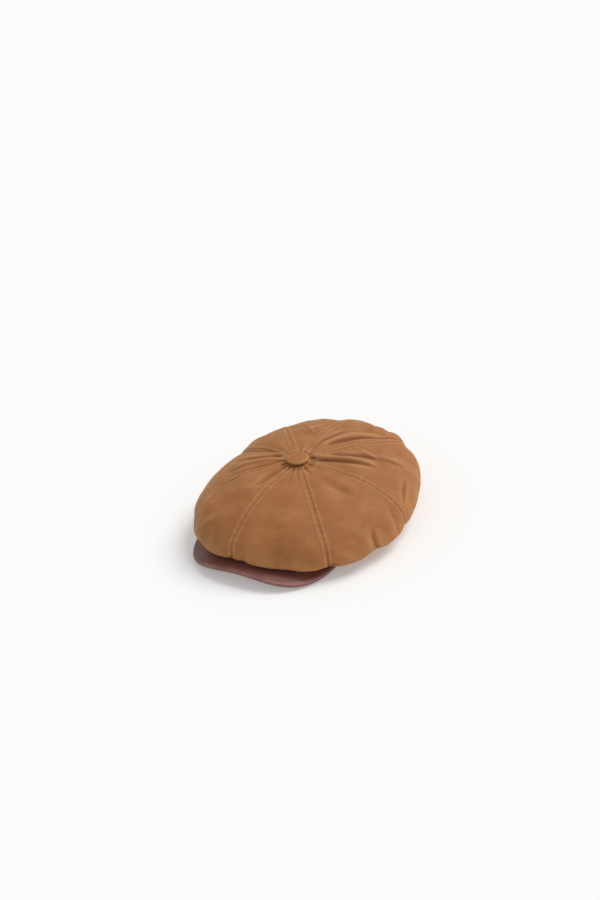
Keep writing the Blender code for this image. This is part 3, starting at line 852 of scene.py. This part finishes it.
def make_button(canvas):
    """The covered button: a turned outline, domed as (1 - (r/R)^2.6)^0.6 inside a low rolled edge,
    drawn in below, with the cloth gathered in fine pleats under its side."""
    turns, rings = 120, 56
    t = np.linspace(0, 1, rings)
    radius = BUTTON_RADIUS
    shoulder = BUTTON_SEAT + 2.2 * MM + BUTTON_LIFT
    crown = t < BUTTON_TOP_SHARE
    r_top = radius * np.sin(pi / 2 * np.clip(t / BUTTON_TOP_SHARE, 0, 1)) * 0.985
    r_top = np.maximum(r_top, 0.0001)
    z_top = shoulder + (BUTTON_TOP - shoulder) * np.maximum(1 - (r_top / radius) ** 2.6, 0) ** 0.6
    z_top += 0.28 * MM * bell(r_top, 0.84 * radius, 0.9 * MM)
    z_top -= 0.18 * MM * bell(r_top, 0.70 * radius, 1.1 * MM)
    side = np.clip((t - BUTTON_TOP_SHARE) / (1 - BUTTON_TOP_SHARE), 0, 1)
    tuck = 0.065 * smooth((side - 0.35) / 0.3) + 0.35 * smooth((side - 0.72) / 0.28)
    r_side = radius * (0.985 + 0.02 * np.sin(pi * np.clip(side * 2, 0, 1)) - tuck)
    z_rim = z_top[np.flatnonzero(crown)[-1]]
    z_side = z_rim + (BUTTON_SEAT + 0.3 * MM - z_rim) * smooth(side * 1.2)
    r, z = np.where(crown, r_top, r_side), np.where(crown, z_top, z_side)
    angle = 2 * pi * np.arange(turns) / turns
    angle_grid, r_grid = crossed(angle, r)
    z_grid = np.broadcast_to(z, r_grid.shape)
    gather = 0.12 * MM * np.sin(30 * angle_grid + np.sin(5 * angle_grid)) * smooth((t - 0.66) / 0.2)
    points = around(angle_grid, r_grid + gather, z_grid)
    closed = np.append(angle, 2 * pi)
    closed_grid, r_uv = crossed(closed, r + np.where(crown, 0, side * 4 * MM))
    uv = np.stack([r_uv * np.sin(closed_grid), r_uv * np.cos(closed_grid)], -1)
    # The raised rim is paled as wear; the side drawn in under the button gets painted shade.
    wear_and_shade = np.broadcast_to(0.75 * bell(r, 0.9 * radius, 1.3 * MM) * crown
                           - 0.8 * smooth((t - 0.74) / 0.2), r_grid.shape)
    inside = (0, AXIS_Y, BUTTON_SEAT)
    cover = grid_piece("covered_button", points, uv, canvas, inside, wear_and_shade, wrap=(True, False))
    add_wall(cover, 0.6 * MM)
    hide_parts("button_cover")
    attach(cover, "crown")


# ---- headband

def band_ring(name, outside, thickness, low, high, material):
    """An oval strip carried round the head: its section is a thin upright strap with half-round ends,
    at a distance outside the band's outer face, between two heights above the slanting edge."""
    turns, rises, ends = 288, 22, 7
    half = thickness / 2
    bow = pi * np.linspace(0, 1, ends)
    rise = np.linspace(low + half, high - half, rises)
    face = half * np.ones(rises)
    out = np.concatenate([face, half * np.cos(bow), -face, -half * np.cos(bow)])
    up = np.concatenate([rise, high - half + half * np.sin(bow), rise[::-1], low + half - half * np.sin(bow)])
    angle = 2 * pi * np.arange(turns) / turns
    angle_grid, out_grid = crossed(angle, out)
    middle = band_radius(angle_grid, outside)
    edge = band_edge(angle_grid, middle)
    bulge = 0.25 * MM * np.sin(9 * angle_grid + np.sin(4 * angle_grid))
    bulge = bulge * np.sin(pi * (up - low) / (high - low))
    points = around(angle_grid, middle + out_grid + bulge, edge + up)
    length = np.append(0, np.cumsum(np.linalg.norm(np.diff(points[:, 0], axis=0), axis=1)))
    length = np.append(length, length[-1] * turns / (turns - 1))
    section = np.append(0, np.cumsum(np.hypot(np.diff(out), np.diff(up))))
    section = np.append(section, section[-1] + 0.5 * MM)
    uv = np.stack(crossed(length, section), -1)
    wear_and_shade = 0.5 * bell(up, low, 1.6 * MM) + np.zeros_like(angle_grid)
    return grid_piece(name, points, uv, material, (0, AXIS_Y, 0), wear_and_shade, wrap=(True, True))


def ring_line(outside, height):
    """A line round the headband at a height above its edge, with its outward direction."""
    count = 900
    angle = np.linspace(0, 2 * pi, count)
    radius = band_radius(angle, outside)
    points = around(angle, radius, band_edge(angle, radius) + height)
    outward = around(angle, np.ones(count), np.zeros(count)) - np.array([0, AXIS_Y, 0])
    return points, outward


def flex_with_peak(item):
    """Bake a layer's placement into its points; the layer does not bend with the peak."""
    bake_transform(item)


def make_headband(canvas, stiffener, leather, thread):
    """The canvas band, the stiffener inside it and the leather sweatband, with their stitching."""
    canvas_strip = band_ring("headband_canvas", -0.6 * MM, 1.2 * MM, 0, BAND_HEIGHT, canvas)
    stiff_strip = band_ring("headband_interlining", -2.1 * MM, 1.0 * MM,
                            INNER_BAND_RISE, BAND_HEIGHT - INNER_BAND_RISE, stiffener)
    inner = HEAD_WIDE - BAND_WIDE + SWEATBAND_THICKNESS / 2
    leather_strip = band_ring("sweatband_leather_strip", inner, SWEATBAND_THICKNESS,
                              INNER_BAND_RISE, 33.8 * MM, leather)
    sizes = (
        (canvas_strip, "headband_outer", "waxed_canvas", (0.618, BAND_HEIGHT), "headband_interlining"),
        (stiff_strip, "headband_stiffener", "band_stiffener", (0.606, 0.0344), "sweatband_leather_strip"),
        (leather_strip, "sweatband", "sweatband_leather", (0.586, 0.033), "lining_gore_front_satin"),
    )
    for item, node, slot, flat, under in sizes:
        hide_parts(node)
        flex_with_peak(item)
    for label, height in (("lower", 3.2 * MM), ("upper", 31.4 * MM)):
        line, outward = ring_line(inner - SWEATBAND_THICKNESS / 2, height)
        sewn = stitch_row("sweatband_stitching_" + label, line, -outward, thread)
        flex_with_peak(sewn)
    line, outward = ring_line(0, 2.4 * MM)
    sewn = stitch_row("headband_edge_stitching", line, outward, thread)
    flex_with_peak(sewn)


# ---- lining

def make_lining(satin):
    """Four satin gores: a quarter oval under the crown that sags a little, then a skirt behind the
    sweatband. Seams are drawn in, and soft creases run up from the band."""
    gores, columns, rows = 4, 56, 70
    outside = HEAD_WIDE - BAND_WIDE + 2.2 * MM
    place = (np.arange(gores)[:, None] - 0.5 + np.linspace(0, 1, columns + 1)[None, :-1]).ravel()
    step = np.concatenate([np.linspace(0.035, 1, rows - 15), 1 + np.linspace(0, 1, 16)[1:]])
    place, step = crossed(place, step)
    angle = 2 * pi / gores * place
    radius = band_radius(angle, outside)
    edge = band_edge(angle, radius)
    shoulder = edge + BAND_HEIGHT
    turn = pi / 2 * np.minimum(step, 1)
    top = CROWN_TOP - 3.5 * MM
    sag = 5.5 * MM * np.sin(pi * np.clip(step, 0, 1)) ** 1.5
    skirt = shoulder - (step - 1) * (BAND_HEIGHT - INNER_BAND_RISE)
    height = np.where(step <= 1, shoulder + (top - shoulder) * np.cos(turn) - sag, skirt)
    points = around(angle, radius * np.where(step <= 1, np.sin(turn), 1), height)
    away = np.abs(place + 0.5 - np.round(place + 0.5)) * 2 * pi / gores * radius * np.sin(turn)
    loose = np.sin(pi * np.clip(step, 0, 1)) ** 0.8
    creases = 0.9 * MM * np.sin(26 * angle + 2 * np.sin(5 * angle)) * loose * smooth((step - 0.3) / 0.5)
    seam = 0.8 * MM * bell(away, 0, 1.6 * MM) * loose
    waves = 0.9 * MM * ripple(points[..., 0], points[..., 1], 34 * MM, 8) * loose
    relief = np.maximum(creases, -0.4 * MM) + waves * 0.6 + seam
    points = points - normals_of(points, True) * relief[..., None]
    distance = run_length(points)
    for index, name in enumerate(("front", "left", "back", "right")):
        span = np.arange(index * columns, (index + 1) * columns + 1) % len(points)
        part = points[span]
        uv = np.stack([run_across(part), distance[span]], -1)
        wear_and_shade = 0.4 * bell(away[span], 0, 2 * MM)
        gore = grid_piece(f"lining_gore_{name}_satin", part, uv, satin, (0, AXIS_Y, 10 * MM), wear_and_shade)
        add_wall(gore, 0.6 * MM)
        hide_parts("lining_gore_" + name)
        if name == "front":
            flex_with_peak(gore)
        else:
            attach(gore, "crown")


# ---- peak

def peak_reach(angle):
    """How far the peak stands out from its sewn edge: to a squarish oval |x/a|^n + |y/b|^n = 1 about the
    button's axis, skewed by sin(2 angle), and rounding in to nothing at its tips."""
    n = PEAK_SQUARENESS
    across = np.abs(np.sin(angle) / PEAK_HALF_WIDTH) ** n
    ahead = np.abs(np.cos(angle) / PEAK_FRONT) ** n
    full = (across + ahead) ** (-1 / n) - band_radius(angle, PEAK_SLACK) + PEAK_SKEW * np.sin(2 * angle)
    return full * (1 - np.abs(angle / PEAK_TIP_ANGLE) ** PEAK_TIP_ROUNDNESS)


def peak_surface(angle, reach, drop):
    """The peak's upper face, drooping more at its wings and bellied between its edges, less a drop."""
    inner = band_radius(angle, PEAK_SLACK)
    sewn = band_edge(angle, inner) + PEAK_STACK
    share = reach / PEAK_DEPTH
    wing = smooth(np.abs(angle) / PEAK_WING_ANGLE)
    droop = PEAK_DROOP_FRONT + (PEAK_DROOP_WING - PEAK_DROOP_FRONT) * wing
    belly = PEAK_BELLY * np.sin(pi * np.minimum(share, 1))
    return around(angle, inner + reach, sewn - droop * share + belly - drop)


def peak_grid(columns, rows, roll_rows, roll_from, roll_to, top):
    """One face of the peak and its rolled edge: rows out to the roll's centre line, then rows that turn
    about it by an angle, along the outline's own normal. The roll shrinks where the peak runs out."""
    across = np.sin(pi / 2 * np.linspace(-1, 1, columns))
    angle = PEAK_TIP_ANGLE * (0.55 * across + 0.45 * np.linspace(-1, 1, columns)) * 0.997
    reach = peak_reach(angle)
    roll = np.minimum(PEAK_ROLL, 0.42 * reach)
    edge = reach - roll
    share = np.linspace(0, 1, rows)
    flat = peak_surface(angle[:, None] + 0 * share, edge[:, None] * share, 0.0 if top else PEAK_STACK)
    middle = peak_surface(angle, edge, PEAK_ROLL)
    run = np.gradient(middle[:, :2], axis=0)
    normal = np.stack([run[:, 1], -run[:, 0]], 1)
    normal /= np.maximum(np.linalg.norm(normal, axis=1, keepdims=True), 1e-12)
    outward = middle[:, :2] - np.array([0, AXIS_Y])
    normal *= np.sign((normal * outward).sum(1, keepdims=True))
    turn = np.linspace(roll_from, roll_to, roll_rows + 1)[1:]
    sides = middle[:, None, :2] + normal[:, None] * (roll[:, None] * np.sin(turn))[..., None]
    heights = middle[:, None, 2] + PEAK_ROLL * np.cos(turn)[None]
    rolled = np.concatenate([sides, heights[..., None]], -1)
    return angle, np.concatenate([flat, rolled], 1)


def peak_uv(angle, points):
    """Cloth places on the peak: the arc round its front, and the distance from its sewn edge."""
    distance = run_length(points)
    return np.stack([np.broadcast_to(angle[:, None] * 110 * MM, distance.shape), distance], -1)


def make_peak(leather):
    """The peak's upper leather, turned over its edge, the leather under it, and the welt that joins
    them to the headband."""
    columns, rows = 260, 46
    angle, top = peak_grid(columns, rows, 18, 0, radians(138), True)
    x, y = top[..., 0], top[..., 1]
    creep = 0.16 * MM * ripple(x, y, 22 * MM, 12)
    index = np.arange(top.shape[1])
    on_face = 1 - smooth((index - rows + 6) / 6)
    ridge = 0.28 * MM * bell(index, rows - 3.5, 1.3)
    top[..., 2] += creep * on_face + ridge
    # Paler along the top of the roll, partly wear and partly a painted highlight; painted shade under the
    # roll.
    wear_and_shade = 0.85 * bell(index, rows + 3, 4.5) - 0.5 * bell(index, rows + 16, 3)
    wear_and_shade = np.broadcast_to(wear_and_shade, top.shape[:2]) * (0.65 + 0.35 * ripple(x, y, 30 * MM, 4))
    upper = grid_piece("peak_top_leather", top, peak_uv(angle, top), leather, (0, AXIS_Y - 0.12, -1), wear_and_shade)
    add_wall(upper, 1.1 * MM)

    angle, low = peak_grid(columns, 40, 8, pi, radians(143), False)
    low[:, -1, 2] += 0.5 * MM
    low[..., 2] += 0.12 * MM * ripple(low[..., 0], low[..., 1], 26 * MM, 9)
    worn_and_shaded = np.broadcast_to(0.4 * bell(np.arange(low.shape[1]), 44, 3), low.shape[:2])
    lower = grid_piece("peak_under_leather", low, peak_uv(angle, low), leather, (0, AXIS_Y - 0.12, 1), worn_and_shaded)
    add_wall(lower, 0.9 * MM)
    for item, node in ((upper, "peak_upper_leather"), (lower, "peak_lower_leather")):
        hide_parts(node)
        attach(item, "peak")
    make_peak_welt(leather)


def make_peak_welt(leather):
    """A rolled welt along the sewn edge: a round section carried round the front of the headband,
    squashed to the height of the peak's layers."""
    angle = PEAK_TIP_ANGLE * np.linspace(-1.02, 1.02, 240)
    turn = 2 * pi * np.arange(16) / 16
    taper = np.sqrt(np.clip(1 - (np.abs(angle) / (1.021 * PEAK_TIP_ANGLE)) ** 12, 0.0004, 1))
    angle_grid, turn_grid = crossed(angle, turn)
    middle = band_radius(angle_grid, 0.4 * MM)
    edge = band_edge(angle_grid, middle) + PEAK_STACK / 2
    radius = middle + 1.1 * MM * np.cos(turn_grid) * taper[:, None]
    points = around(angle_grid, radius, edge + 2.1 * MM * np.sin(turn_grid) * taper[:, None])
    closed = np.append(turn, 2 * pi)
    uv = np.stack(crossed(angle * 95 * MM, closed * 2 * MM), -1)
    # A fixed negative value: painted shade over the whole welt, tucked between crown, band and peak.
    wear_and_shade = np.full(points.shape[:2], -0.3)
    inside = (0, AXIS_Y - 0.105, 15 * MM)
    welt = grid_piece("peak_seam_welt", points, uv, leather, inside, wear_and_shade, wrap=(False, True))
    flex_with_peak(welt)


# ---- stage, light and camera

def make_stage():
    """A plain pale floor, wide enough to fill the view, with a faint glow of its own that softens shadows."""
    f = Finish("studio_floor", 0.85, Specular_IOR_Level=0.1, Emission_Strength=FLOOR_GLOW)
    f.shader.inputs["Emission Color"].default_value = (1, 1, 1, 1)
    colour = f.mix(f.noise(f.place, 0.8, 2), (228, 228, 227), (231, 231, 230))
    material = f.finish(colour)
    f.hide_from_below()
    corners = np.array([(-1, -1, 0), (-1, 1, 0), (1, -1, 0), (1, 1, 0)], float) * FLOOR_HALF_SIDE
    points = corners.reshape(2, 2, 3)
    floor = grid_piece("floor", points, points[..., :2], material, (0, 0, -1))


def add_sun(name, place, strength, spread, colour):
    """A broad, even studio light from far off in the direction of a place."""
    lamp = bpy.data.lights.new(name, "SUN")
    lamp.energy = strength
    lamp.angle = spread
    lamp.color = colour
    item = new_object(name, lamp)
    item.location = place
    item.rotation_mode = "QUATERNION"
    item.rotation_quaternion = Vector(place).to_track_quat("Z", "Y")


def make_light():
    """A white surround with a broad light high behind the right side."""
    world = bpy.data.worlds.new("studio")
    world.use_nodes = True
    world.node_tree.nodes["Background"].inputs["Color"].default_value = (1, 1, 1, 1)
    world.node_tree.nodes["Background"].inputs["Strength"].default_value = SURROUND
    scene = bpy.context.scene
    scene.world = world
    scene.view_settings.view_transform = "Standard"
    add_sun("key_light", KEY_PLACE, KEY_STRENGTH, radians(38), (1.0, 0.995, 0.985))


def make_camera():
    """The camera: a long lens from the front left, a third of the way up, tilted a little."""
    az, el = VIEW_AZIMUTH, VIEW_ELEVATION
    back = Vector((sin(az) * cos(el), -cos(az) * cos(el), sin(el)))
    right = Vector((cos(az), sin(az), 0))
    up = back.cross(right)
    side = right * cos(VIEW_ROLL) + up * sin(VIEW_ROLL)
    head = up * cos(VIEW_ROLL) - right * sin(VIEW_ROLL)
    ahead = (-back + side * VIEW_AIM[0] + head * VIEW_AIM[1]).normalized()
    side = ahead.cross(head).normalized()
    head = side.cross(ahead)
    lens = bpy.data.cameras.new("camera")
    lens.lens = VIEW_LENS
    lens.sensor_width = 36
    lens.clip_start = 0.05
    camera = new_object("camera", lens)
    turn = Matrix((side, head, -ahead)).transposed().to_4x4()
    camera.matrix_world = Matrix.Translation(Vector((0, AXIS_Y, 0)) + back * VIEW_DISTANCE) @ turn
    bpy.context.scene.camera = camera


def dress_hidden_nodes():
    """Finishes for the frame's own pieces that stay: the board and the button's metal parts."""
    aluminium = pressed_metal("button_aluminium", (176, 178, 181), (206, 208, 210))
    steel = pressed_metal("button_steel", (128, 128, 130), (160, 160, 162))
    washer = pressed_metal("washer_steel", (120, 120, 122), (168, 168, 170))
    finishes = {
        "peak_board": (peak_board(), "peak_board"),
        "button_shell": (aluminium, "button_aluminium"),
        "button_shank_plate": (steel, "button_steel"),
        "button_washer": (washer, "button_steel"),
    }
    for name, (material, slot) in finishes.items():
        node = frame["nodes"][name]
        node.data.materials.clear()
        node.data.materials.append(material)


make_camera()
make_light()
make_stage()
CANVAS = waxed_canvas()
THREAD = tan_thread()
make_crown(CANVAS, THREAD)
make_button(CANVAS)
make_headband(CANVAS, bonded_fibre(), sweatband_hide(), THREAD)
make_lining(lining_satin())
make_peak(peak_hide())
dress_hidden_nodes()
